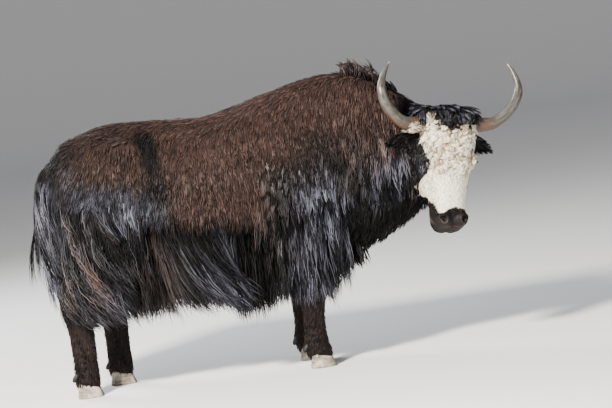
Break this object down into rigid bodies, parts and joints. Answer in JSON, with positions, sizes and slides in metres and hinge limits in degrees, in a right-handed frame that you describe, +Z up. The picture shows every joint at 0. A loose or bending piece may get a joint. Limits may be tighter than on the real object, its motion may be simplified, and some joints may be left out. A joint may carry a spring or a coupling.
{
  "type": "yak",
  "caption": "Life-size yak standing four-square, its horned head turned to its right, with long skirts of hair, a shoulder hump and a bushy tail.",
  "frame": {"origin": "on the floor under the middle of the model's bounding box, level with the soles", "axes": "+X the way the body heads, from tail to shoulder; +Y the animal's left; +Z up. The head is turned to the animal's right, towards -Y"},
  "size_m": [2.321, 0.707, 1.3872],
  "materials": {
    "coat": "long black-brown hair, red-brown along the back, with a cream-white face",
    "horn": "smooth grey-cream horn, darker at the base",
    "eye": "wet dark brown eye",
    "hoof": "dusty grey-tan hoof"
  },
  "bodies": {
    "root": {"ear_left": "coat", "ear_right": "coat", "eye_left": "eye", "eye_right": "eye", "fore_left_claw_inner": "hoof", "fore_left_claw_outer": "hoof", "fore_left_lower": "coat", "fore_left_upper": "coat", "fore_right_claw_inner": "hoof", "fore_right_claw_outer": "hoof", "fore_right_lower": "coat", "fore_right_upper": "coat", "head": "coat", "hind_left_claw_inner": "hoof", "hind_left_claw_outer": "hoof", "hind_left_lower": "coat", "hind_left_upper": "coat", "hind_right_claw_inner": "hoof", "hind_right_claw_outer": "hoof", "hind_right_lower": "coat", "hind_right_upper": "coat", "horn_left": "horn", "horn_right": "horn", "neck": "coat", "tail": "coat", "torso": "coat"}
  },
  "joints": []
}
